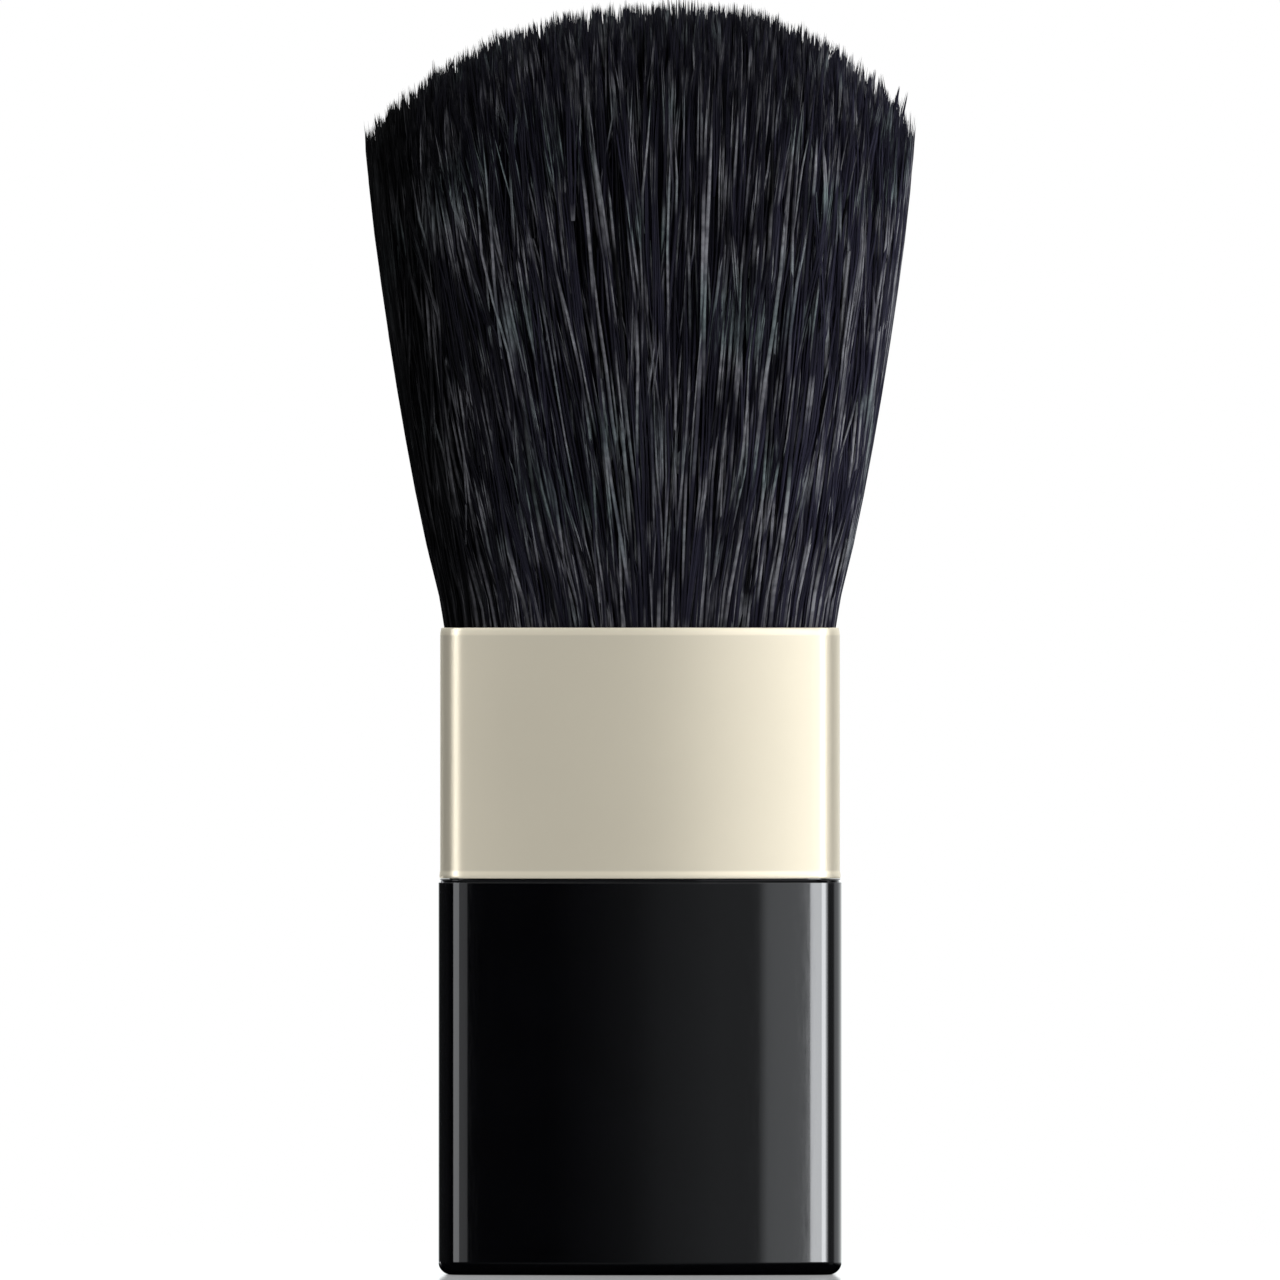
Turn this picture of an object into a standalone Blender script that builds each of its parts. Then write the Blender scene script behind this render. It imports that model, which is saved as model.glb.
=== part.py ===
"""Compact blush brush: a flat moulded handle, a metal ferrule and a fanned head of black hair.

Row frame: metres, +Z up from the handle's base to the tips of the hair, +X across the width,
front face towards -Y. The origin is the centre of the flat base that the brush stands on.

Every part follows one outline, the handle's: two flat sides, a crowned front and back and four
rounded corners. Each wall is that outline set in by a distance, at a height, so a part is a list
of (inset, height) pairs swept round the outline.
"""

import math
import random

import bmesh
import bpy

# Handle: one hollow moulding in gloss black, open at the neck that carries the ferrule
HANDLE_WIDTH = 0.0222
HANDLE_DEPTH = 0.0096
HANDLE_HEIGHT = 0.0215
HANDLE_CROWN = 0.0014
CORNER_RADIUS = 0.0018
BASE_EDGE_RADIUS = 0.00085
TOP_EDGE_BREAK = 0.00015
FLOOR_THICKNESS = 0.0020
FLOOR_RADIUS = 0.0008
INNER_CORNER_RADIUS = 0.0004

# Neck: the hollow spigot above the handle's shoulder, with a groove for adhesive
NECK_WALL = 0.0014
NECK_CLEARANCE = 0.0002
NECK_LEAD = 0.0003
GLUE_GROOVE_DEPTH = 0.0005
GLUE_GROOVE_HEIGHT = 0.0015
GLUE_CLEARANCE = 0.00015

# Ferrule: a drawn metal sleeve with coined edges
FERRULE_HEIGHT = 0.0139
FERRULE_WALL = 0.0003
FERRULE_SETBACK = 0.0001
FERRULE_EDGE_DEPTH = 0.0002
FERRULE_EDGE_RISE = 0.0004
SHOULDER_GAP = 0.0003

# Resin plug that locks the hair roots in the ferrule
RESIN_THICKNESS = 0.0025
RESIN_CLEARANCE = 0.0002
RESIN_EDGE_BREAK = 0.0002
RESIN_GAP = 0.0003

# Root block: the hair packed solid inside the ferrule, with a waist where the thread ties it
ROOT_SINK = 0.0003
ROOT_CLEARANCE = 0.00025
ROOT_FLANGE = 0.0005
ROOT_PACKING = 0.0013

# Binding thread, wound round the waist of the root block
THREAD_DIAMETER = 0.00035
THREAD_PITCH = 0.0008
THREAD_TURNS = 3
THREAD_CLEARANCE = 0.00015

# Head of free hair, measured from the ferrule's rim
HEAD_HEIGHT = 0.0343
HEAD_WIDTH = 0.0303
HEAD_DEPTH = 0.0145
HEAD_SHOULDER_HEIGHT = 0.0271
HEAD_FRONT_FALL = 0.0048
TIP_SCATTER = 0.0009

# How the head is divided and shaped, as counts and as shares of the sizes above
LOCK_COLUMNS = 20
LOCK_ROWS = 9
FLARE_BOW_SHARE = 0.54
HEAD_SIDE_THINNING_SHARE = 0.52
HEAD_CORNER_EASING_SHARE = 0.07
LOCK_JOG_SHARE = 0.5
LOCK_ROOT_FILL_SHARE = 0.78
LOCK_RING_SHARES = ((0.36, 0.82), (0.85, 0.74))
SCATTER_SEED = 11

# Steps of the curved stretches
FACE_STEPS = 12
CORNER_STEPS = 5
EDGE_STEPS = 5
COINED_STEPS = 3
THREAD_FACE_STEPS = 6
THREAD_CORNER_STEPS = 2
THREAD_BEVEL_RESOLUTION = 1
SHARP_EDGE_DEGREES = 32
WELD_SHARE = 0.01

# Insets of the nested walls, from the outline of the handle
BORE_INSET = FERRULE_SETBACK + FERRULE_WALL
NECK_INSET = BORE_INSET + NECK_CLEARANCE
POCKET_INSET = NECK_INSET + NECK_WALL
ROOT_INSET = BORE_INSET + ROOT_CLEARANCE
RESIN_INSET = BORE_INSET + RESIN_CLEARANCE

# Levels along the axis, from the base up
FERRULE_LEVEL = HANDLE_HEIGHT + SHOULDER_GAP
RIM_LEVEL = FERRULE_LEVEL + FERRULE_HEIGHT
WAIST_DEPTH = THREAD_DIAMETER + 2 * THREAD_CLEARANCE
WAIST_HEIGHT = THREAD_TURNS * THREAD_PITCH + THREAD_DIAMETER + 2 * THREAD_CLEARANCE
ROOT_HEIGHT = ROOT_FLANGE + WAIST_HEIGHT + ROOT_PACKING
ROOT_TOP_LEVEL = RIM_LEVEL - ROOT_SINK
ROOT_LEVEL = ROOT_TOP_LEVEL - ROOT_HEIGHT
RESIN_LEVEL = ROOT_LEVEL - RESIN_GAP - RESIN_THICKNESS
NECK_TOP_LEVEL = RESIN_LEVEL - RESIN_GAP
GROOVE_LEVEL = (HANDLE_HEIGHT + NECK_TOP_LEVEL - NECK_LEAD - GLUE_GROOVE_HEIGHT) / 2

# The outermost locks stand a third of a cell inside the grid's edge, so the fan is widened by it
COLUMN_REACH_SHARE = 1 / (1 - 2 / (3 * LOCK_COLUMNS))
ROW_REACH_SHARE = 1 / (1 - 2 / (3 * LOCK_ROWS))


class Section:
    """Outline with flat sides, a crowned front and back, and rounded corners."""

    def __init__(self, half_width, arc_radius, arc_centre, corner):
        self.half_width = half_width
        self.arc_radius = arc_radius
        self.arc_centre = arc_centre
        self.corner = corner

    def inset(self, distance):
        """The same outline with every face moved in by this distance."""
        corner = max(self.corner - distance, INNER_CORNER_RADIUS)
        return Section(
            self.half_width - distance, self.arc_radius - distance, self.arc_centre, corner
        )

    def corner_arc(self):
        """Centre of a corner's arc, and the angle at which it meets the crowned face."""
        x = self.half_width - self.corner
        y = self.arc_centre + math.sqrt((self.arc_radius - self.corner) ** 2 - x**2)
        return x, y, math.atan2(y - self.arc_centre, x)

    def reach(self, x):
        """Half the depth at this place across the width."""
        centre_x, centre_y, meeting = self.corner_arc()
        past_centre = abs(x) - centre_x
        if past_centre > self.corner * math.cos(meeting):
            return centre_y + math.sqrt(max(self.corner**2 - past_centre**2, 0))
        return self.arc_centre + math.sqrt(self.arc_radius**2 - x**2)

    def outline(self, face_steps=FACE_STEPS, corner_steps=CORNER_STEPS):
        """Points of the outline, anticlockwise from above."""
        centre_x, centre_y, meeting = self.corner_arc()
        half = []
        for step in range(corner_steps + 1):
            angle = meeting * step / corner_steps
            half.append(polar(centre_x, centre_y, self.corner, angle))
        for step in range(1, face_steps):
            angle = meeting + (math.pi - 2 * meeting) * step / face_steps
            half.append(polar(0, self.arc_centre, self.arc_radius, angle))
        for step in range(corner_steps + 1):
            angle = math.pi - meeting * (1 - step / corner_steps)
            half.append(polar(-centre_x, centre_y, self.corner, angle))
        return half + [(-x, -y) for x, y in half]


def polar(centre_x, centre_y, radius, angle):
    return centre_x + radius * math.cos(angle), centre_y + radius * math.sin(angle)


def handle_section():
    half_width = HANDLE_WIDTH / 2
    arc_radius = (half_width**2 + HANDLE_CROWN**2) / (2 * HANDLE_CROWN)
    return Section(half_width, arc_radius, HANDLE_DEPTH / 2 - arc_radius, CORNER_RADIUS)


def clear_scene():
    for obj in list(bpy.data.objects):
        bpy.data.objects.remove(obj)


def material(name, colour, roughness, metallic=0.0):
    made = bpy.data.materials.new(name)
    made.use_nodes = True
    shader = made.node_tree.nodes["Principled BSDF"]
    shader.inputs["Base Color"].default_value = (*colour, 1.0)
    shader.inputs["Roughness"].default_value = roughness
    shader.inputs["Metallic"].default_value = metallic
    made.diffuse_color = (*colour, 1.0)
    return made


def place(name, data, level, finish, parent):
    """One named piece, its origin on the brush's axis at its own lower end."""
    obj = bpy.data.objects.new(name, data)
    bpy.context.scene.collection.objects.link(obj)
    obj.location = (0, 0, level)
    obj.parent = parent
    data.materials.append(finish)
    return obj


def finish_mesh(name, bm):
    """Faces outward and smooth, with the real edges kept sharp."""
    bmesh.ops.recalc_face_normals(bm, faces=bm.faces)
    mesh = bpy.data.meshes.new(name)
    bm.to_mesh(mesh)
    bm.free()
    mesh.shade_smooth()
    mesh.set_sharp_from_angle(angle=math.radians(SHARP_EDGE_DEGREES))
    return mesh


def ring_of(bm, points, height):
    return [bm.verts.new((x, y, height)) for x, y in points]


def join_rings(bm, lower, upper):
    count = len(lower)
    for k in range(count):
        after = (k + 1) % count
        bm.faces.new((lower[k], lower[after], upper[after], upper[k]))


def sweep(name, profile, ends_meet):
    """Sweeps (inset, height) pairs round the outline. Ends that don't meet are capped."""
    section = handle_section()
    bm = bmesh.new()
    rings = [ring_of(bm, section.inset(inset).outline(), height) for inset, height in profile]
    for lower, upper in zip(rings, rings[1:]):
        join_rings(bm, lower, upper)
    if ends_meet:
        join_rings(bm, rings[-1], rings[0])
    else:
        bm.faces.new(rings[0])
        bm.faces.new(rings[-1])
    return finish_mesh(name, bm)


def rounded_corner(inset, height, depth, rise, steps, rising):
    """A quarter ellipse from a level face to an upright one, or back if it isn't rising.

    The corner that it replaces is at (inset, height), on the side that the faces turn from.
    """
    pairs = []
    for step in range(steps + 1):
        angle = math.pi / 2 * step / steps
        pairs.append(
            (inset + depth * (1 - math.sin(angle)), height + rise * (1 - math.cos(angle)))
        )
    return pairs if rising else pairs[::-1]


def handle_profile():
    pairs = rounded_corner(0, 0, BASE_EDGE_RADIUS, BASE_EDGE_RADIUS, EDGE_STEPS, True)
    groove_floor = NECK_INSET + GLUE_GROOVE_DEPTH
    groove_top = GROOVE_LEVEL + GLUE_GROOVE_HEIGHT
    pairs += [
        (0, HANDLE_HEIGHT - TOP_EDGE_BREAK),
        (TOP_EDGE_BREAK, HANDLE_HEIGHT),
        (NECK_INSET, HANDLE_HEIGHT),
        (NECK_INSET, GROOVE_LEVEL),
        (groove_floor, GROOVE_LEVEL),
        (groove_floor, groove_top),
        (NECK_INSET, groove_top),
        (NECK_INSET, NECK_TOP_LEVEL - NECK_LEAD),
        (NECK_INSET + NECK_LEAD, NECK_TOP_LEVEL),
        (POCKET_INSET, NECK_TOP_LEVEL),
    ]
    for step in range(COINED_STEPS + 1):
        angle = math.pi / 2 * step / COINED_STEPS
        pairs.append(
            (
                POCKET_INSET + FLOOR_RADIUS * (1 - math.cos(angle)),
                FLOOR_THICKNESS + FLOOR_RADIUS * (1 - math.sin(angle)),
            )
        )
    return pairs


def ferrule_profile():
    lower = rounded_corner(
        FERRULE_SETBACK, 0, FERRULE_EDGE_DEPTH, FERRULE_EDGE_RISE, COINED_STEPS, True
    )
    upper = rounded_corner(
        FERRULE_SETBACK, FERRULE_HEIGHT, FERRULE_EDGE_DEPTH, -FERRULE_EDGE_RISE, COINED_STEPS, False
    )
    return lower + upper + [(BORE_INSET, FERRULE_HEIGHT), (BORE_INSET, 0)]


def adhesive_profile():
    outer = BORE_INSET + GLUE_CLEARANCE
    inner = NECK_INSET + GLUE_GROOVE_DEPTH - GLUE_CLEARANCE
    height = GLUE_GROOVE_HEIGHT - 2 * GLUE_CLEARANCE
    return [(outer, 0), (outer, height), (inner, height), (inner, 0)]


def resin_profile():
    return [
        (RESIN_INSET + RESIN_EDGE_BREAK, 0),
        (RESIN_INSET, RESIN_EDGE_BREAK),
        (RESIN_INSET, RESIN_THICKNESS - RESIN_EDGE_BREAK),
        (RESIN_INSET + RESIN_EDGE_BREAK, RESIN_THICKNESS),
    ]


def thread_points():
    """The centreline of the thread: loops round the waist that climb at a steady rate."""
    section = handle_section().inset(ROOT_INSET + WAIST_DEPTH / 2)
    loop = section.outline(THREAD_FACE_STEPS, THREAD_CORNER_STEPS)
    start = ROOT_FLANGE + THREAD_CLEARANCE + THREAD_DIAMETER / 2
    points = []
    for step in range(THREAD_TURNS * len(loop) + 1):
        x, y = loop[step % len(loop)]
        points.append((x, y, start + THREAD_PITCH * step / len(loop)))
    return points, len(loop)


def least_thread_gap(points, loop_count):
    """The least free space between one turn and the next, from the centreline's points."""
    gaps = []
    for k, point in enumerate(points[: -loop_count + 2]):
        gaps += [math.dist(point, other) for other in points[k + loop_count - 2 :]]
    return min(gaps) - THREAD_DIAMETER


def thread_curve():
    points, loop_count = thread_points()
    print(f"binding thread, least gap between turns: {least_thread_gap(points, loop_count):.6f} m")
    curve = bpy.data.curves.new("binding_thread", "CURVE")
    curve.dimensions = "3D"
    curve.bevel_depth = THREAD_DIAMETER / 2
    curve.bevel_resolution = THREAD_BEVEL_RESOLUTION
    curve.use_fill_caps = True
    spline = curve.splines.new("POLY")
    spline.points.add(len(points) - 1)
    for target, point in zip(spline.points, points):
        target.co = (*point, 1)
    return curve


def root_point(u, v, inset, height):
    """A place in the root block. u and v run from -1 to 1 across its width and its depth."""
    section = handle_section().inset(inset)
    x = u * section.half_width
    return x, v * section.reach(x), height


def tip_rise(u, v):
    """How high above the rim the hair at u, v ends: a dome over the width and the depth."""
    half = HEAD_WIDTH / 2
    fall = HEAD_HEIGHT - HEAD_SHOULDER_HEIGHT
    dome_radius = (half**2 + fall**2) / (2 * fall)
    side_fall = dome_radius - math.sqrt(dome_radius**2 - (u * half) ** 2)
    return HEAD_HEIGHT - side_fall - HEAD_FRONT_FALL * v**2


def head_point(u, v, rise):
    """A place in the free hair at this rise above the rim, fanned out from the bore."""
    share = max(rise, 0) / HEAD_SHOULDER_HEIGHT
    spread = share * (1 + FLARE_BOW_SHARE - FLARE_BOW_SHARE * share)
    bore = handle_section().inset(ROOT_INSET)
    full_width = HEAD_WIDTH / 2 * COLUMN_REACH_SHARE
    full_depth = HEAD_DEPTH / 2 * ROW_REACH_SHARE * (1 - HEAD_SIDE_THINNING_SHARE * u**2)
    root_depth = bore.reach(u * bore.half_width)
    half_width = bore.half_width + spread * (full_width - bore.half_width)
    x = u * half_width * (1 - HEAD_CORNER_EASING_SHARE * spread * v**2)
    y = v * (root_depth + spread * (full_depth - root_depth))
    return x, y, ROOT_HEIGHT + ROOT_SINK + rise


def grid_place(column, row):
    """Where a corner of the grid of locks lies, from -1 to 1 across the width and the depth.

    Corners inside the border are jogged to and fro, so that no straight gap runs right through.
    """
    u = 2 * column / LOCK_COLUMNS - 1
    v = 2 * row / LOCK_ROWS - 1
    if 0 < column < LOCK_COLUMNS and 0 < row < LOCK_ROWS:
        u += (2 * (row % 2) - 1) * LOCK_JOG_SHARE / LOCK_COLUMNS
        v += (2 * (column % 2) - 1) * LOCK_JOG_SHARE / LOCK_ROWS
    return u, v


def border_ring(bm, inset, height):
    """The root block's outline, at the corners of the grid of locks that lie on it."""
    stops = [(column, 0) for column in range(LOCK_COLUMNS)]
    stops += [(LOCK_COLUMNS, row) for row in range(LOCK_ROWS)]
    stops += [(column, LOCK_ROWS) for column in range(LOCK_COLUMNS, 0, -1)]
    stops += [(0, row) for row in range(LOCK_ROWS, 0, -1)]
    return [bm.verts.new(root_point(*grid_place(*stop), inset, height)) for stop in stops]


def grow_lock(bm, roots, cell, scatter):
    """One lock of hair, three-sided, from a triangle of the root block's top to a point."""
    middle_u = sum(u for u, v in cell) / len(cell)
    middle_v = sum(v for u, v in cell) / len(cell)
    base = -ROOT_SINK
    length = tip_rise(middle_u, middle_v) - TIP_SCATTER * scatter - base

    def ring(fill, height_of):
        shrunk = [
            (middle_u + fill * (u - middle_u), middle_v + fill * (v - middle_v)) for u, v in cell
        ]
        return [bm.verts.new(height_of(u, v)) for u, v in shrunk]

    rings = [ring(LOCK_ROOT_FILL_SHARE, lambda u, v: root_point(u, v, ROOT_INSET, ROOT_HEIGHT))]
    for share, fill in LOCK_RING_SHARES:
        rings.append(ring(fill, lambda u, v: head_point(u, v, base + share * length)))
    tip = bm.verts.new(head_point(middle_u, middle_v, base + length))
    join_rings(bm, roots, rings[0])
    for lower, upper in zip(rings, rings[1:]):
        join_rings(bm, lower, upper)
    last = rings[-1]
    for k in range(len(last)):
        bm.faces.new((last[k], last[(k + 1) % len(last)], tip))


def hair_mesh():
    """Locks of hair fused to the root block, each from its own cell of the block's top."""
    bm = bmesh.new()
    dice = random.Random(SCATTER_SEED)
    grid = {}
    for column in range(LOCK_COLUMNS + 1):
        for row in range(LOCK_ROWS + 1):
            uv = grid_place(column, row)
            grid[column, row] = (bm.verts.new(root_point(*uv, ROOT_INSET, ROOT_HEIGHT)), uv)
    for column in range(LOCK_COLUMNS):
        for row in range(LOCK_ROWS):
            a, b = grid[column, row], grid[column + 1, row]
            c, d = grid[column + 1, row + 1], grid[column, row + 1]
            halves = ((a, b, c), (a, c, d)) if (column + row) % 2 else ((a, b, d), (b, c, d))
            for corners in halves:
                roots = [vert for vert, uv in corners]
                cell = [uv for vert, uv in corners]
                grow_lock(bm, roots, cell, dice.random())
    waist_base, waist_top = ROOT_FLANGE, ROOT_FLANGE + WAIST_HEIGHT
    levels = [
        (ROOT_INSET, ROOT_HEIGHT),
        (ROOT_INSET, waist_top),
        (ROOT_INSET + WAIST_DEPTH, waist_top),
        (ROOT_INSET + WAIST_DEPTH, waist_base),
        (ROOT_INSET, waist_base),
        (ROOT_INSET, 0),
    ]
    rings = [border_ring(bm, inset, height) for inset, height in levels]
    for upper, lower in zip(rings, rings[1:]):
        join_rings(bm, lower, upper)
    bm.faces.new(rings[-1])
    bmesh.ops.remove_doubles(bm, verts=bm.verts, dist=ROOT_CLEARANCE * WELD_SHARE)
    return finish_mesh("hair_bundle", bm)


def build():
    clear_scene()
    brush = bpy.data.objects.new("blush_brush", None)
    bpy.context.scene.collection.objects.link(brush)

    gloss_black = material("gloss_black_plastic", (0.010, 0.010, 0.012), 0.08)
    champagne = material("champagne_metal", (0.80, 0.74, 0.60), 0.30, 1.0)
    hair = material("black_hair", (0.014, 0.014, 0.017), 0.42)
    thread = material("waxed_thread", (0.62, 0.58, 0.48), 0.70)
    resin = material("cured_resin", (0.46, 0.30, 0.12), 0.25)
    adhesive = material("cured_adhesive", (0.70, 0.66, 0.52), 0.35)

    place("handle_body", sweep("handle_body", handle_profile(), False), 0, gloss_black, brush)
    place("ferrule", sweep("ferrule", ferrule_profile(), True), FERRULE_LEVEL, champagne, brush)
    adhesive_ring = sweep("neck_adhesive", adhesive_profile(), True)
    place("neck_adhesive", adhesive_ring, GROOVE_LEVEL + GLUE_CLEARANCE, adhesive, brush)
    place("root_resin", sweep("root_resin", resin_profile(), False), RESIN_LEVEL, resin, brush)
    place("binding_thread", thread_curve(), ROOT_LEVEL, thread, brush)
    place("hair_bundle", hair_mesh(), ROOT_LEVEL, hair, brush)


build()
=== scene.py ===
"""Looks of a compact blush brush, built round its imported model.

The handle and the ferrule are swept round one outline: flat sides, a crowned front and back and
rounded corners. The hair is thousands of tapered strands that fan out of the ferrule, gathered
into locks, over a dark core. All sizes are in metres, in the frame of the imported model.
"""

import math
from typing import NamedTuple

import bmesh
import bpy
import numpy as np
from bpy.props import FloatProperty, FloatVectorProperty, IntProperty, PointerProperty
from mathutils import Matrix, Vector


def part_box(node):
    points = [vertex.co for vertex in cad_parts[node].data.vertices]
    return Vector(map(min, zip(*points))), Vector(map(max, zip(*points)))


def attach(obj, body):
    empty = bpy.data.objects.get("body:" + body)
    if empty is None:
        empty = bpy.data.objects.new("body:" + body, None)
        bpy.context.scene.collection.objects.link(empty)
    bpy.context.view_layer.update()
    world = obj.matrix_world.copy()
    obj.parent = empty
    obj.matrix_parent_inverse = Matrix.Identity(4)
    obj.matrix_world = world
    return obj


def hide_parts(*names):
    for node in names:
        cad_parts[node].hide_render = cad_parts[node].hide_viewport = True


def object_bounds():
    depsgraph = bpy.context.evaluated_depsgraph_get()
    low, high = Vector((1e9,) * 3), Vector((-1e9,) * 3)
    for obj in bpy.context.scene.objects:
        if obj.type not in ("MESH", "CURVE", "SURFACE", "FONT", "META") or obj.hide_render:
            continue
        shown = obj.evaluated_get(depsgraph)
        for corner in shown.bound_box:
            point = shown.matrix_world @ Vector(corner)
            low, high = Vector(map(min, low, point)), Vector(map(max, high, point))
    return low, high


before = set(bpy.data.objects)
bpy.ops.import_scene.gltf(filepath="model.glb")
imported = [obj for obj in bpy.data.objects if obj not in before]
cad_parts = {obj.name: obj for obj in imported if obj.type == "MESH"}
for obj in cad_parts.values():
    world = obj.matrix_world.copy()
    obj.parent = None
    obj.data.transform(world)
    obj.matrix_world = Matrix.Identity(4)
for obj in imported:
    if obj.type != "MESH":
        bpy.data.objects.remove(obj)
CAD_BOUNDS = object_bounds()

bl_info = {
    "name": "Blush Brush",
    "version": (1, 0, 0),
    "blender": (4, 5, 0),
    "location": "3D View > Sidebar > Blush Brush",
    "description": "Builds a compact blush brush: handle, ferrule, hair and a plain studio",
    "category": "Object",
}

BODY = "root"

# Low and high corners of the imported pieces
HANDLE_LOW, HANDLE_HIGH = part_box("handle_body")
FERRULE_LOW, FERRULE_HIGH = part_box("ferrule")
HAIR_LOW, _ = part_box("hair_bundle")
THREAD_LOW, THREAD_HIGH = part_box("binding_thread")
ADHESIVE_LOW, ADHESIVE_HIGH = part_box("neck_adhesive")
RIM_LEVEL = FERRULE_HIGH.z

# Small shapes of the handle: joint groove, collar, neck, glue groove and hollow
SHOULDER_GAP = 0.00022
JOINT_GROOVE_INSET = 0.00015
COLLAR_INSET = 0.00005
COLLAR_CLEARANCE = 0.00003
NECK_CLEARANCE = 0.0002
NECK_WALL = 0.0014
NECK_LEAD = 0.0003
GROOVE_DEPTH = 0.0005
GROOVE_CLEARANCE = 0.00015
HOLLOW_FLOOR = 0.002
HOLLOW_RADIUS = 0.0008
INNER_CORNER_RADIUS = 0.0004

# Hair roots in the ferrule: the block that the thread ties, and how far strands run down into it
ROOT_CLEARANCE = 0.00025
WAIST_CLEARANCE = 0.00015
ROOT_WAIST_DEPTH = 0.00065
STRAND_CLEARANCE = 0.00014
STRAND_ROOT_DEPTH = 0.0012

# Smoothness of the swept outlines
HALF_FACE_STEPS = 36
CORNER_STEPS = 24
EDGE_STEPS = 12
SHARP_DEGREES = 35
HOLD_GAP = 0.00003
LIP_STEPS = 8


def length_setting(name, description, default):
    return FloatProperty(
        name=name, description=description, default=default, min=0, unit="LENGTH", precision=5
    )


def colour_setting(name, description, default):
    return FloatVectorProperty(
        name=name, description=description, default=default, size=3, min=0, max=1, subtype="COLOR"
    )


def count_setting(name, description, default):
    return IntProperty(name=name, description=description, default=default, min=0)


class HandleSettings(bpy.types.PropertyGroup):
    width: length_setting("Width", "Across the flat sides", HANDLE_HIGH.x - HANDLE_LOW.x)
    depth: length_setting("Depth", "Through the middle of the faces", HANDLE_HIGH.y - HANDLE_LOW.y)
    crown: length_setting("Crown", "How far the front and the back swell in the middle", 0.0014)
    corner_radius: length_setting("Corner radius", "Radius of the four upright corners", 0.0018)
    base_edge_radius: length_setting("Base edge radius", "Radius round the base", 0.00072)
    top_edge_radius: length_setting("Top edge radius", "Radius round the shoulder", 0.00002)
    colour: colour_setting("Colour", "Colour of the gloss plastic", (0.0012, 0.0012, 0.0016))


class FerruleSettings(bpy.types.PropertyGroup):
    height: length_setting("Height", "From the joint to the rim", 0.0138)
    setback: length_setting("Setback", "How far it stands in from the handle's sides", 0.0001)
    wall: length_setting("Wall", "Thickness of the sheet", 0.0003)
    coin_depth: length_setting("Coin depth", "How far the coined top edge turns in", 0.00011)
    coin_rise: length_setting("Coin rise", "Height of the coined top edge", 0.0005)
    base_depth: length_setting("Base depth", "How far the bottom edge turns in", 0.00006)
    base_rise: length_setting("Base rise", "Height of the turned bottom edge", 0.00014)
    lip_depth: length_setting("Lip depth", "How far the lip at the bottom stands out", 0.00004)
    lip_height: length_setting("Lip height", "Height of the lip at the bottom", 0.00035)
    colour: colour_setting("Colour", "Colour of the satin metal", (0.865, 0.78, 0.612))


class HairSettings(bpy.types.PropertyGroup):
    head_height: length_setting("Head height", "From the rim to the tips", 0.0346)
    head_width: length_setting("Head width", "Across the shoulders of the head", 0.0305)
    head_depth: length_setting("Head depth", "Through the head at its middle", 0.0145)
    shoulder_height: length_setting("Shoulder height", "From the rim to the head's shoulders", 0.0274)
    front_fall: length_setting("Front fall", "How much lower the front and back tips end", 0.0045)
    strand_diameter: length_setting("Strand diameter", "Diameter of one hair", 0.000122)
    surface_wisps: count_setting("Surface wisps", "Wisps of full hairs on each face", 800)
    crown_wisps: count_setting("Crown wisps", "Wisps of tips in each half of the dome", 1300)
    guard_hairs: count_setting("Guard hairs", "Coarser single hairs over each face", 420)
    seed: count_setting("Seed", "Start of the scatter", 7)
    dark: colour_setting("Dark hair", "Colour of the darkest hairs", (0.0019, 0.0018, 0.0031))
    # Light hair is the colour of the painted glints, pale stretches that stand in for highlights on the
    # hairs
    light: colour_setting("Light hair", "Colour of the palest stretches", (0.212, 0.21, 0.226))


class InnerSettings(bpy.types.PropertyGroup):
    thread: colour_setting("Thread", "Colour of the waxed thread", (0.62, 0.57, 0.46))
    resin: colour_setting("Resin", "Colour of the cured resin", (0.46, 0.28, 0.1))
    adhesive: colour_setting("Adhesive", "Colour of the cured adhesive", (0.7, 0.66, 0.52))


class StageSettings(bpy.types.PropertyGroup):
    lens: FloatProperty(
        name="Lens", description="Focal length in millimetres", default=1000, min=50, unit="CAMERA"
    )
    frame_height: length_setting("Frame height", "Height that the picture takes in at the brush", 0.0705)
    frame_middle: length_setting("Frame middle", "Level at the middle of the picture", 0.03492)
    key: FloatProperty(name="Key", description="Brightness to the right and above", default=5, min=0)
    rim: FloatProperty(name="Rim", description="Brightness to the left", default=1.5, min=0)
    floor: colour_setting("Floor", "Colour of the floor", (0.82, 0.82, 0.82))


class BlushBrushSettings(bpy.types.PropertyGroup):
    handle: PointerProperty(type=HandleSettings)
    ferrule: PointerProperty(type=FerruleSettings)
    hair: PointerProperty(type=HairSettings)
    inner: PointerProperty(type=InnerSettings)
    stage: PointerProperty(type=StageSettings)


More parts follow.
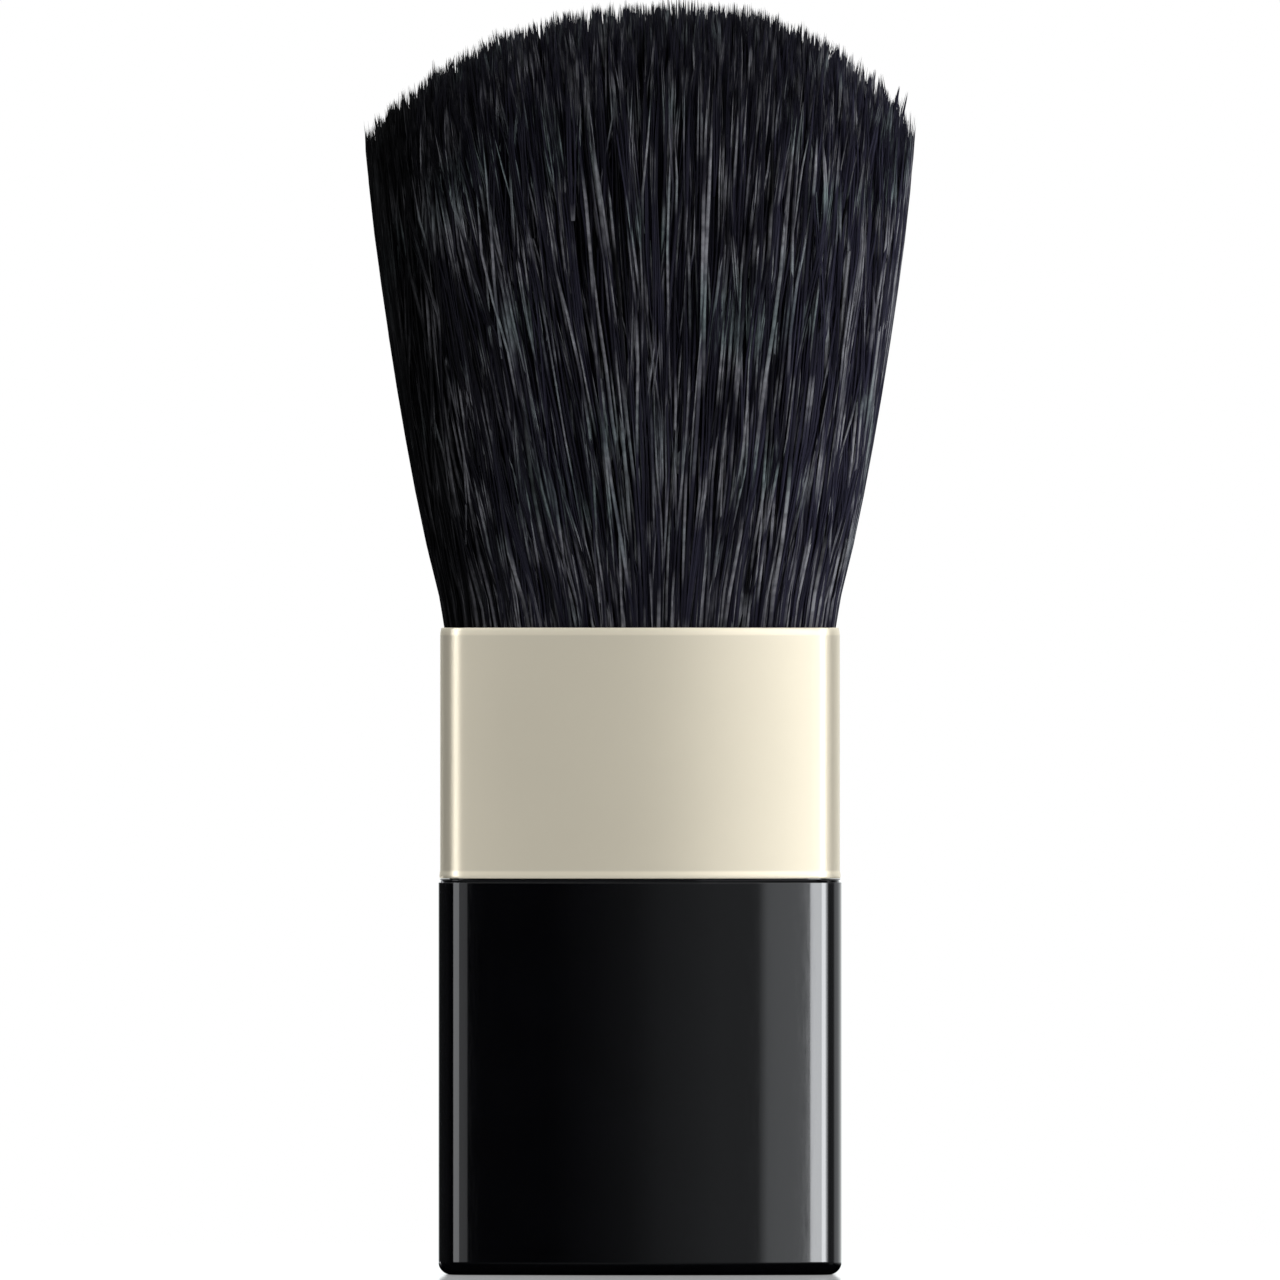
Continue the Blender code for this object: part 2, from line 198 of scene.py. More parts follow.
class Section(NamedTuple):
    """Outline with flat sides, a crowned front and back, and rounded corners."""

    half_width: float
    arc_radius: float
    arc_centre: float
    corner: float

    def inset(self, distance):
        """The same outline with every face moved in by this distance."""
        corner = max(self.corner - distance, INNER_CORNER_RADIUS)
        return Section(self.half_width - distance, self.arc_radius - distance, self.arc_centre, corner)

    def corner_arc(self):
        """Centre of a corner's arc, and the angle at which it meets the crowned face."""
        x = self.half_width - self.corner
        y = self.arc_centre + math.sqrt((self.arc_radius - self.corner) ** 2 - x**2)
        return x, y, math.atan2(y - self.arc_centre, x)

    def reach(self, x):
        """Half the depth at these places across the width."""
        centre_x, centre_y, meeting = self.corner_arc()
        past = np.abs(x) - centre_x
        crowned = self.arc_centre + np.sqrt(self.arc_radius**2 - np.square(x))
        rounded = centre_y + np.sqrt(np.maximum(self.corner**2 - np.square(past), 0))
        return np.where(past > self.corner * math.cos(meeting), rounded, crowned)

    def outline(self):
        """Points of the outline, anticlockwise from above."""
        centre_x, centre_y, meeting = self.corner_arc()
        quarter = [(self.half_width, centre_y - HOLD_GAP)]
        for step in range(CORNER_STEPS + 1):
            quarter.append(polar(centre_x, centre_y, self.corner, meeting * step / CORNER_STEPS))
        for step in range(1, HALF_FACE_STEPS):
            angle = meeting + (math.pi / 2 - meeting) * step / HALF_FACE_STEPS
            quarter.append(polar(0, self.arc_centre, self.arc_radius, angle))
        middle = (0, self.arc_centre + self.arc_radius)
        half = [*quarter, middle, *[(-x, y) for x, y in quarter[::-1]]]
        return half + [(-x, -y) for x, y in half]


def polar(centre_x, centre_y, radius, angle):
    return centre_x + radius * math.cos(angle), centre_y + radius * math.sin(angle)


def handle_section(handle):
    half_width = handle.width / 2
    arc_radius = (half_width**2 + handle.crown**2) / (2 * handle.crown)
    return Section(half_width, arc_radius, handle.depth / 2 - arc_radius, handle.corner_radius)


def rounding(inset, height, depth, rise):
    """A quarter ellipse in place of the sharp corner at (inset, height), from its inner end."""
    angles = [math.pi / 2 * step / EDGE_STEPS for step in range(EDGE_STEPS + 1)]
    return [
        (inset + depth * (1 - math.sin(angle)), height + rise * (1 - math.cos(angle))) for angle in angles
    ]


def held_rounding(inset, height, depth, rise):
    """The same with a ring close to each end, so that the walls beside it shade flat."""
    inner = (inset + depth + HOLD_GAP, height)
    outer = (inset, height + rise + math.copysign(HOLD_GAP, rise))
    return [inner, *rounding(inset, height, depth, rise), outer]


def lofted(name, rings, ends_meet=False):
    """A smooth mesh through rings of points. Ends that don't meet are capped."""
    bm = bmesh.new()
    loops = [[bm.verts.new(point) for point in ring] for ring in rings]
    pairs = list(zip(loops, loops[1:]))
    if ends_meet:
        pairs.append((loops[-1], loops[0]))
    for lower, upper in pairs:
        for k in range(len(lower)):
            after = (k + 1) % len(lower)
            bm.faces.new((lower[k], lower[after], upper[after], upper[k]))
    if not ends_meet:
        bm.faces.new(loops[0])
        bm.faces.new(loops[-1])
    bmesh.ops.recalc_face_normals(bm, faces=bm.faces)
    mesh = bpy.data.meshes.new(name)
    bm.to_mesh(mesh)
    bm.free()
    mesh.shade_smooth()
    return mesh


def swept(name, section, profile, ends_meet=False):
    """A mesh from (inset, height) pairs swept round an outline, with its true corners sharp."""
    rings = [[(x, y, height) for x, y in section.inset(inset).outline()] for inset, height in profile]
    mesh = lofted(name, rings, ends_meet)
    mesh.set_sharp_from_angle(angle=math.radians(SHARP_DEGREES))
    return mesh


def placed(name, data, location=(0, 0, 0), rotation=(0, 0, 0)):
    """A new object in the scene."""
    made = bpy.data.objects.new(name, data)
    made.location = location
    made.rotation_euler = rotation
    bpy.context.scene.collection.objects.link(made)
    return made


def add_piece(name, mesh, finish, node):
    """Puts a piece on the brush's one body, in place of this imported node."""
    piece = placed(name, mesh)
    mesh.materials.append(finish)
    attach(piece, BODY)
    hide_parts(node)


class Nodes:
    """A node tree under construction. Each input is a plain value, or an output to link."""

    def __init__(self, tree):
        self.tree = tree

    def feed(self, socket, value):
        if isinstance(value, bpy.types.NodeSocket):
            self.tree.links.new(value, socket)
        else:
            socket.default_value = value

    def add(self, kind, inputs=(), **settings):
        """The outputs of a new node with these inputs, by name or number."""
        made = self.tree.nodes.new("ShaderNode" + kind)
        for name, value in settings.items():
            setattr(made, name, value)
        for name, value in dict(inputs).items():
            self.feed(made.inputs[name], value)
        return made.outputs

    def maths(self, operation, *values):
        return self.add("Math", enumerate(values), operation=operation)[0]

    def times(self, first, *others):
        """The product of these numbers."""
        for value in others:
            first = self.maths("MULTIPLY", first, value)
        return first

    def vectors(self, operation, *values):
        """A sum with vectors, which comes to a number if it is a length."""
        results = self.add("VectorMath", enumerate(values), operation=operation)
        return results["Value" if operation == "LENGTH" else "Vector"]

    def spread(self, value, low, high, source_low=0.3, source_high=0.7, curve="LINEAR"):
        """Values of a noise, from its usual range to this one."""
        inputs = {0: value, 1: source_low, 2: source_high, 3: low, 4: high}
        return self.add("MapRange", inputs, clamp=True, interpolation_type=curve)[0]

    def blend(self, share, first, second):
        """A colour from the first to the second."""
        return self.add("Mix", {0: share, 6: first, 7: second}, data_type="RGBA")[2]

    def ramp(self, share, stops, tint, peak=1):
        """The tint at each stop's brightness, up to the peak. The stops run from share 0 to 1."""
        colour = self.add("ValToRGB", {0: share})["Color"]
        marks = colour.node.color_ramp.elements
        first, last = stops[0][0], stops[-1][0]
        for index, (place, brightness) in enumerate(stops):
            at = (place - first) / (last - first)
            mark = marks[index] if index < 2 else marks.new(at)
            mark.position = at
            mark.color = shade(tint, brightness / peak)
        return colour


class Finish(Nodes):
    """A material under construction."""

    def __init__(self, name):
        self.material = bpy.data.materials.new(name)
        self.material.use_nodes = True
        super().__init__(self.material.node_tree)
        self.shader = self.tree.nodes["Principled BSDF"]

    def made_of(self, **values):
        """The material, with these inputs of its shader, named with underscores."""
        for name, value in values.items():
            self.feed(self.shader.inputs[name.replace("_", " ")], value)
        return self.material

    def place(self, stretch=(1, 1, 1)):
        """The place on the object in metres, stretched along its axes."""
        return self.add("Mapping", {"Vector": self.add("TexCoord")["Object"], "Scale": stretch})[0]

    def noise(self, where, size, detail=2, roughness=0.5):
        """Noise whose features are about this size."""
        inputs = {"Vector": where, "Scale": 1 / size, "Detail": detail, "Roughness": roughness}
        return self.add("TexNoise", inputs)["Fac"]

    def bump(self, height, depth):
        """A surface relief this deep."""
        return self.add("Bump", {"Height": height, "Distance": depth, "Strength": 1})[0]

    def tones(self, pattern, colour, darkest, lightest):
        """The colour, made darker or lighter by a pattern."""
        return self.blend(pattern, shade(colour, darkest), shade(colour, lightest))


def shade(colour, factor=1):
    """The colour as four numbers, made lighter or darker."""
    return (*[min(part * factor, 1) for part in colour], 1)


def gloss_plastic(colour):
    """Polished black plastic: faint cloudiness, a barely wavy surface and hairline rubbing."""
    finish = Finish("gloss_black_plastic")
    where = finish.place()
    cloud = finish.noise(where, size=0.004, detail=3)
    rubbing = finish.noise(finish.place((1, 1, 0.06)), size=0.00012, detail=4, roughness=0.65)
    return finish.made_of(
        Base_Color=finish.tones(cloud, colour, 0.6, 1.5),
        Roughness=finish.spread(rubbing, 0.045, 0.11),
        IOR=1.5,
        Normal=finish.bump(finish.noise(where, size=0.0035, detail=1), depth=0.0000012),
        Coat_Weight=1,
        Coat_Roughness=0.02,
        Coat_IOR=1.52,
    )


# How far in from the ferrule's edges the painted highlight starts, and where it is full
EDGE_HIGHLIGHT_REACH = (0.00046, 0.00036)


def satin_metal(colour, height):
    """Champagne metal with a fine satin grain, faint tone changes, and a painted highlight along its top
    and bottom edges.
    """
    finish = Finish("champagne_metal")
    where = finish.place()
    tone = finish.noise(where, size=0.006, detail=3)
    grain = finish.noise(finish.place((1, 1, 0.18)), size=0.00006, detail=3, roughness=0.6)
    level = finish.add("SeparateXYZ", {0: where})["Z"]
    from_middle = finish.maths("ABSOLUTE", finish.maths("SUBTRACT", level, FERRULE_LOW.z + height / 2))
    # Painted highlight: the colour is lighter in a band along the top and bottom edges
    painted_edge_highlight = finish.spread(from_middle, 0, 1, *[height / 2 - reach for reach in EDGE_HIGHLIGHT_REACH])
    satin = finish.tones(tone, colour, 0.97, 1.03)
    return finish.made_of(
        Base_Color=finish.blend(painted_edge_highlight, satin, shade(colour, 1.15)),
        Metallic=0.8,
        Anisotropic=0.82,
        Anisotropic_Rotation=0.25,
        Roughness=finish.spread(grain, 0.4, 0.45),
        Normal=finish.bump(grain, depth=0.0000006),
    )


# Grain of the hair in its map: how often it changes across the hairs and along them
HAIR_MAP = "OFBake"
SHADOW_GRAIN, GLINT_GRAIN, FLECK_GRAIN = (1300, 3, 1), (700, 7, 1), (900, 70, 1)
# Painted glints: how much of the hair's length gets pale stretches that stand in for highlights
GLINT_RANGE, GUARD_GLINT_RANGE = (0.55, 0.7), (0.47, 0.63)
FAINTEST_FLECK = 0.32
HUE_PATCH, HUE_RANGE = 0.0045, (0.5, 0.7)
HUE_SHARES = (0.78, 0.96, 0.9)
DEEPEST_SHADE, PALEST_SHADE = 0.2, 12

# Painted shading of the head: painted shade towards the left and painted light towards the right of its
# front, where light falls from the right. Its places run from -1 at the left side to 1 at the right
PAINTED_SHADING_ACROSS = (
    (-1, 0.05), (-0.9, 0.14), (-0.74, 0.52), (-0.57, 0.68), (-0.4, 0.8), (0.4, 0.84),
    (0.57, 0.98), (0.73, 1.32), (1, 1.55),
)
PAINTED_SHADING_PEAK = 1.6
PAINTED_SHADING_WIDTHS, PAINTED_SHADING_LEVELS = (0.0107, 0.0152), (0.0356, 0.063)
PAINTED_SHADING_DEPTHS, BACK_TONE = (0.0002, 0.0052), 0.85
# Painted glints grow more frequent towards the tips
TIP_REACH, TIP_GLINT_SHARE = (0.72, 0.95), 1.25


def painted_shading_by_place(finish):
    """Painted shading: the front of the head is painted darker to the left and lighter to the right, as
    light falls from the right, and its back has an even tone.
    """
    x, y, z = finish.add("SeparateXYZ", {0: finish.place()})
    half_width = finish.spread(z, *PAINTED_SHADING_WIDTHS, *PAINTED_SHADING_LEVELS)
    across = finish.spread(finish.maths("DIVIDE", x, half_width), 0, 1, -1, 1)
    front = finish.times(finish.ramp(across, PAINTED_SHADING_ACROSS, (1, 1, 1), PAINTED_SHADING_PEAK), PAINTED_SHADING_PEAK)
    return finish.spread(y, front, BACK_TONE, *PAINTED_SHADING_DEPTHS)


def hair_finish(name, dark, light, glint_range):
    """Black hair: each strand has its own tone, with painted glints, paler stretches along it that stand
    in for highlights.

    The map runs across the strands in one direction and along them, tips last, in the other.
    """
    finish = Finish(name)
    spot = finish.add("UVMap", uv_map=HAIR_MAP)[0]

    def grain(scale, detail=1):
        return finish.noise(finish.add("Mapping", {"Vector": spot, "Scale": scale})[0], 1, detail)

    depth = finish.spread(grain(SHADOW_GRAIN), 0, 1)
    # Painted glints: pale stretches along each strand that stand in for highlights
    painted_glint = finish.spread(grain(GLINT_GRAIN), 0, 1, *glint_range)
    fleck = finish.spread(grain(FLECK_GRAIN, 2), FAINTEST_FLECK, 1)
    hue = finish.spread(finish.noise(finish.place(), HUE_PATCH, 1), 0, 1, *HUE_RANGE)
    cool = [part * share for part, share in zip(light, HUE_SHARES)]
    # Painted shade and light across the head: it darkens or lightens the dark hairs and sets how many
    # painted glints show
    tone = painted_shading_by_place(finish)
    tips = finish.spread(finish.add("SeparateXYZ", {0: spot})["Y"], 1, TIP_GLINT_SHARE, *TIP_REACH)
    shadow = finish.tones(finish.times(depth, tone, tone), dark, DEEPEST_SHADE, PALEST_SHADE)
    painted_glint_colour = finish.blend(hue, shade(light), shade(cool))
    return finish.made_of(
        Base_Color=finish.blend(finish.times(painted_glint, fleck, tone, tips), shadow, painted_glint_colour),
        Roughness=finish.spread(fleck, 0.6, 0.42, FAINTEST_FLECK, 1),
        Normal=finish.bump(fleck, depth=0.0000015),
        Specular_IOR_Level=0.06,
    )


def packed_hair(colour):
    """The shaded mass between the hairs: nearly black, furrowed along the hair."""
    finish = Finish("packed_hair")
    furrow = finish.noise(finish.place((1, 1, 0.05)), size=0.0001, detail=3)
    return finish.made_of(
        Base_Color=finish.tones(furrow, colour, 0.3, 1.2),
        Roughness=finish.spread(furrow, 0.65, 0.95),
        Normal=finish.bump(furrow, depth=0.00004),
        Specular_IOR_Level=0.05,
    )


def waxed_thread(colour):
    """Twisted thread with a dull wax."""
    finish = Finish("waxed_thread")
    inputs = {"Vector": finish.place((1, 1, 3)), "Scale": 1300, "Distortion": 1.5}
    twist = finish.add("TexWave", inputs, bands_direction="DIAGONAL")["Fac"]
    return finish.made_of(
        Base_Color=finish.tones(twist, colour, 0.55, 1),
        Roughness=finish.spread(twist, 0.55, 0.8, 0, 1),
        Normal=finish.bump(twist, depth=0.00003),
    )


def cured_resin(colour):
    """Amber resin with fine bubbles and hair-stained patches."""
    finish = Finish("cured_resin")
    where = finish.place()
    bubbles = finish.add("TexVoronoi", {"Vector": where, "Scale": 2200})["Distance"]
    stain = finish.noise(where, size=0.0015, detail=4)
    return finish.made_of(
        Base_Color=finish.tones(stain, colour, 0.35, 1.15),
        Roughness=finish.spread(bubbles, 0.32, 0.12, 0, 0.5),
        Normal=finish.bump(bubbles, depth=0.00002),
    )


def cured_adhesive(colour):
    """Pale adhesive, milky and a little lumpy."""
    finish = Finish("cured_adhesive")
    lumps = finish.noise(finish.place(), size=0.0006, detail=3)
    return finish.made_of(
        Base_Color=finish.tones(lumps, colour, 0.8, 1.1),
        Roughness=finish.spread(lumps, 0.25, 0.5),
        Normal=finish.bump(lumps, depth=0.00006),
    )


def bore_inset(ferrule):
    return ferrule.setback + ferrule.wall


def handle_mesh(handle, ferrule):
    """The whole moulding: body, shoulder, neck with its glue groove, and the hollow."""
    shoulder = FERRULE_LOW.z - SHOULDER_GAP
    neck = bore_inset(ferrule) + NECK_CLEARANCE
    pocket = neck + NECK_WALL
    groove = neck + GROOVE_DEPTH
    neck_top = HANDLE_HIGH.z
    edge = handle.top_edge_radius
    profile = held_rounding(0, 0, handle.base_edge_radius, handle.base_edge_radius)
    profile += held_rounding(0, shoulder, edge, -edge)[:0:-1]
    collar_top = FERRULE_LOW.z - COLLAR_CLEARANCE
    groove_low, groove_high = ADHESIVE_LOW.z - GROOVE_CLEARANCE, ADHESIVE_HIGH.z + GROOVE_CLEARANCE
    profile += [
        (JOINT_GROOVE_INSET, (shoulder + collar_top) / 2),
        (COLLAR_INSET, collar_top),
        (neck, collar_top),
        (neck, groove_low),
        (groove, groove_low),
        (groove, groove_high),
        (neck, groove_high),
        (neck, neck_top - NECK_LEAD),
        (neck + NECK_LEAD, neck_top),
        (pocket, neck_top),
    ]
    profile += rounding(pocket, HOLLOW_FLOOR, HOLLOW_RADIUS, HOLLOW_RADIUS)[::-1]
    return swept("handle_shell", handle_section(handle), profile)


def lip(ferrule, height):
    """The swelling of the sheet from the lip, which starts at this height, to its plain wall."""
    pairs = []
    for step in range(1, LIP_STEPS + 1):
        share = step / LIP_STEPS
        swell = ferrule.lip_depth * (1 + math.cos(math.pi * share)) / 2
        pairs.append((ferrule.setback - swell, height + ferrule.lip_height * share))
    return pairs


def ferrule_mesh(handle, ferrule):
    """The drawn sleeve, with coined edges and a shallow lip at the bottom."""
    low, high = FERRULE_LOW.z, FERRULE_LOW.z + ferrule.height
    inner = bore_inset(ferrule)
    outer = ferrule.setback - ferrule.lip_depth
    profile = rounding(outer, low, ferrule.base_depth, ferrule.base_rise)
    profile += lip(ferrule, low + ferrule.base_rise)
    profile += held_rounding(ferrule.setback, high, ferrule.coin_depth, -ferrule.coin_rise)[::-1]
    profile += [(inner, high), (inner, low)]
    return swept("ferrule_sleeve", handle_section(handle), profile, ends_meet=True)


# How the head of hair is shaped: shares of its sizes, and powers of its curves
FLARE_BOW_SHARE, FACE_BOW_SHARE = 0.45, 0.8
SIDE_THINNING_SHARE = 0.52
CORNER_EASING_SHARE = 0.07
LEFT_FALL_SHARE, RIGHT_LIFT_SHARE = 0.02, 0.033
LIFT_FALLOFF_POWER = 4
SHALLOW_FALL_SHARE = 0.5
STEEP_FALL_POWER = 6
RIM_BULGE_SHARE, RIM_BULGE_POWER = 0.4, 5


class Head:
    """The head of hair: where the hair that starts at (u, v) in the ferrule is at each level.

    u and v run from -1 to 1 across the width and through the depth.
    """

    def __init__(self, settings):
        hair = settings.hair
        self.hair = hair
        self.bore = handle_section(settings.handle).inset(bore_inset(settings.ferrule) + STRAND_CLEARANCE)
        self.half_width = hair.head_width / 2
        self.fall = hair.head_height - hair.shoulder_height
        self.dome_radius = (self.half_width**2 + self.fall**2) / (2 * self.fall)

    def spread(self, rise, bow):
        """How far the hair has fanned out, from 0 at the rim to 1 at the shoulders."""
        share = np.maximum(rise, 0) / self.hair.shoulder_height
        return share * (1 + bow - bow * share)

    def tip_rise(self, u, v):
        """Rise above the rim at which the hair at (u, v) ends."""
        side_fall = self.dome_radius - np.sqrt(self.dome_radius**2 - np.square(u * self.half_width))
        lift = u * np.where(u > 0, RIGHT_LIFT_SHARE, LEFT_FALL_SHARE)
        lift *= 1 - np.abs(u) ** LIFT_FALLOFF_POWER
        roundness = SHALLOW_FALL_SHARE * v**2 + (1 - SHALLOW_FALL_SHARE) * v**STEEP_FALL_POWER
        return self.hair.head_height * (1 + lift) - side_fall - self.hair.front_fall * roundness

    def place(self, u, v, rise):
        """Points at this rise above the rim. Below the rim the hair runs straight down."""
        spread = self.spread(rise, FLARE_BOW_SHARE)
        share = np.clip(rise / self.hair.shoulder_height, 0, 1)
        flare = spread + RIM_BULGE_SHARE * share * (1 - share) ** RIM_BULGE_POWER
        width = self.bore.half_width + flare * (self.half_width - self.bore.half_width)
        x = u * width * (1 - CORNER_EASING_SHARE * spread * np.square(v))
        root_depth = self.bore.reach(u * self.bore.half_width)
        full_depth = self.hair.head_depth / 2 * (1 - SIDE_THINNING_SHARE * np.square(u))
        y = v * (root_depth + self.spread(rise, FACE_BOW_SHARE) * (full_depth - root_depth))
        return np.stack([x, y, rise + RIM_LEVEL], axis=-1)


# Locks, across and through the head, that the wisps lean into towards their tips
LOCKS = (30, 12)
LOCK_JITTER_SHARE = 0.42
LOCK_PULL_SHARES = (0.15, 0.5)
LOCK_LENGTH_SCATTER = 0.00011
RIGHT_RAGGED_SHARE = 1.3

# Wisps of a few hairs that run together: how they drift, wave, fan out and end
WISP_HAIRS = 4
WISP_SPREAD = 0.00012
WISP_TONE_SPREAD = 0.0005
WISP_STAGES, WISP_SHARES = (0, 0.35, 0.7, 1), (0.25, 1, 1, 0.45)
WISP_DRIFT = (0.04, 0.06)
WILD_SHARE = 0.16
WILD_DRIFT_SHARE = 3.0
EVEN_SHARE = 0.72
EVEN_SCATTER = 0.00018
SHORT_SCATTER = 0.0026
SHORT_LIMIT = 3 * SHORT_SCATTER
HAIR_SCATTER = 0.00014
MIDDLE_SWEEP = 0.05
SIDE_SWEEPS = ((1, 0.42, -0.45), (-1, 0.24, 0.55))
SWEEP_REACH = 0.68
CROWN_SWEEP_SHARE = 0.35
DRIFT_ONSETS = (0.5, 1.35)
WAVES = ((0.014, 0.03, 0.00024), (0.0085, 0.013, 0.00006))
WAVE_ONSET = 0.008
SIDE_TUCK = 0.0001
SIDE_STRAY, FACE_STRAY = 0.00004, 0.00016

# Hairs: how thick they are, how they taper, where they start and how many rings they have
DIAMETER_SHARES = (0.75, 1.3)
TAPER_START_SHARE, TAPER_POWER = 0.8, 1.4
TIP_SHARE = 0.4
SURFACE_LAYER_DEPTH = 0.0012
SIDE_WISP_SHARE = 0.26
LAYER_HALF_WIDTH, LAYER_HALF_DEPTH = 0.0107, 0.0044
LAYER_POWER = 1.3
SURFACE_RINGS, CROWN_RINGS = 10, 6
CROWN_START = (0.006, 0.011)
CROWN_REACH_SHARES = (0.97, 0.94)
STRAND_SIDES = 3
MAP_STEP = 0.00006
MAP_LENGTH = 0.042
MAP_ROOT_SHARE = 0.25
GUARD_LAYER_DEPTH = 0.00015
GUARD_DIAMETER_SHARE = 1.5


def lean(dice, u, v):
    """For each wisp, the nearest lock's middle, how strongly it pulls, and how long it is."""
    cell = 2 / np.array(LOCKS)
    columns, rows = np.meshgrid(*map(np.arange, LOCKS))
    middles = np.stack([columns.ravel(), rows.ravel()], axis=1) + 0.5
    middles = (middles + dice.uniform(-LOCK_JITTER_SHARE, LOCK_JITTER_SHARE, middles.shape)) * cell - 1
    pulls = dice.uniform(*LOCK_PULL_SHARES, len(middles))
    ragged = 1 + RIGHT_RAGGED_SHARE * np.clip(middles[:, 0], 0, 1)
    lengths = dice.normal(0, LOCK_LENGTH_SCATTER, len(middles)) * ragged
    own = np.stack([u, v], axis=1)
    nearest = np.argmin(np.square((own[:, None] - middles[None]) / cell).sum(axis=2), axis=1)
    return middles[nearest], pulls[nearest], lengths[nearest]


def waves(dice, count, rise):
    """Sideways waves of this many wisps at these rises, one long and one short."""
    total = np.zeros(rise.shape)
    for shortest, longest, depth in WAVES:
        length = dice.uniform(shortest, longest, (count, 1))
        phase = dice.uniform(0, 2 * np.pi, (count, 1))
        size = np.abs(dice.normal(0, depth, (count, 1)))
        total += size * (np.sin(2 * np.pi * rise / length + phase) - np.sin(phase))
    return total * np.clip(rise / WAVE_ONSET, 0, 1)


def sweep(u):
    """How far the hairs lean to the left. They splay to both sides, and more to the left."""
    total = MIDDLE_SWEEP * (1 - np.square(u))
    for direction, size, middle in SIDE_SWEEPS:
        nearness = np.maximum(1 - np.square((u - middle) / SWEEP_REACH), 0) ** 2
        total += direction * size * nearness * (1 + direction * u)
    return total


def drawn_in(offset, limit, stray):
    """Offsets to both sides of the middle that go past the limit by no more than the stray."""
    excess = np.maximum(np.abs(offset) - limit, 0)
    return np.sign(offset) * (np.abs(offset) - excess + stray * (1 - np.exp(-excess / stray)))


def kept_in(head, path, rise):
    """The path with what lies outside the head's sides and faces drawn back in."""
    x, y = path[..., 0], path[..., 1]
    edge = head.place(1, 0, rise)[..., 0]
    x[:] = drawn_in(x, edge - SIDE_TUCK, SIDE_STRAY)
    face = head.place(np.clip(x / edge, -1, 1), 1, rise)[..., 1]
    y[:] = drawn_in(y, face, FACE_STRAY)
    corner = head.place(1, np.clip(y / face, -1, 1), rise)[..., 0]
    x[:] = drawn_in(x, corner - SIDE_TUCK, SIDE_STRAY)
    return path


def wisp_paths(head, dice, u, v, in_crown, hairs_each):
    """Centrelines of every hair, as an array of hair, ring and place, and each hair's wisp.

    Full wisps start at their roots in the ferrule, and the crown's a little below their tips.
    """
    count = len(u)
    middles, pulls, lengths = lean(dice, u, v)
    wild = np.where(dice.random(count) < WILD_SHARE, WILD_DRIFT_SHARE, 1)
    drift_u, drift_v = [dice.normal(0, size, count) * wild for size in WISP_DRIFT]
    drift_u -= sweep(u) * (CROWN_SWEEP_SHARE if in_crown else 1)
    even = dice.random(count) < EVEN_SHARE
    nearly_full = np.abs(dice.normal(0, EVEN_SCATTER, count))
    short = np.where(even, nearly_full, dice.exponential(SHORT_SCATTER, count))
    tip_u = np.clip(u + pulls * (middles[:, 0] - u) + drift_u, -1, 1)
    tip_v = np.clip(v + pulls * (middles[:, 1] - v) + drift_v, -1, 1)
    top = head.tip_rise(tip_u, tip_v) + lengths - np.minimum(short, SHORT_LIMIT)
    base = top - dice.uniform(*CROWN_START, count) if in_crown else np.full(count, -STRAND_ROOT_DEPTH)

    wisp = np.repeat(np.arange(count), hairs_each)
    hairs = len(wisp)
    ends = top[wisp] - np.abs(dice.normal(0, HAIR_SCATTER, hairs))
    along = np.linspace(0, 1, (CROWN_RINGS if in_crown else SURFACE_RINGS) + 1)[None, :]
    rise = base[wisp, None] + (ends - base[wisp])[:, None] * along
    share = np.clip(rise / ends[:, None], 0, 1) ** dice.uniform(*DRIFT_ONSETS, count)[wisp, None]
    path_u = u[wisp, None] + share * (tip_u - u)[wisp, None]
    path_v = v[wisp, None] + share * (tip_v - v)[wisp, None]
    path = head.place(path_u, path_v, rise)
    wisp_rise = base[:, None] + (top - base)[:, None] * along
    fan = np.interp(along, WISP_STAGES, WISP_SHARES)
    for axis in (0, 1):
        path[..., axis] += waves(dice, count, wisp_rise)[wisp]
        path[..., axis] += dice.normal(0, WISP_SPREAD, (hairs, 1)) * fan
    return kept_in(head, path, rise), wisp


def strand_points(paths, dice, diameter):
    """Points round each path, ring by ring, and last its tip."""
    count, points, _ = paths.shape
    rings = points - 1
    along = np.linspace(0, 1, points)
    toward_tip = np.clip((along - TAPER_START_SHARE) / (1 - TAPER_START_SHARE), 0, 1)
    taper = 1 - (1 - TIP_SHARE) * toward_tip**TAPER_POWER
    radius = diameter / 2 * dice.uniform(*DIAMETER_SHARES, (count, 1)) * taper
    turn = dice.uniform(0, 2 * np.pi, (count, 1)) + 2 * np.pi * np.arange(STRAND_SIDES) / STRAND_SIDES
    circle = np.stack([np.cos(turn), np.sin(turn), np.zeros_like(turn)], axis=-1)
    tubes = paths[:, :rings, None] + radius[:, :rings, None, None] * circle[:, None]
    return np.concatenate([tubes.reshape(count, rings * STRAND_SIDES, 3), paths[:, rings:]], axis=1)


def strand_faces(rings):
    """One strand's faces: their points, how many each has, and each point's side and share along."""
    corners, totals = [], []
    for ring in range(rings - 1):
        for side in range(STRAND_SIDES):
            corners += [(ring, side), (ring, side + 1), (ring + 1, side + 1), (ring + 1, side)]
            totals.append(4)
    for side in range(STRAND_SIDES):
        corners += [(rings - 1, side), (rings - 1, side + 1), (rings, side + 0.5)]
        totals.append(3)
    corners += [(0, side) for side in reversed(range(STRAND_SIDES))]
    totals.append(STRAND_SIDES)
    ring, side = np.array(corners).T
    tip = rings * STRAND_SIDES
    points = np.minimum(ring * STRAND_SIDES + side % STRAND_SIDES, tip).astype(int)
    # Gives the root's face some area in the map
    ring[-2] = MAP_ROOT_SHARE
    return points, totals, side, ring / rings


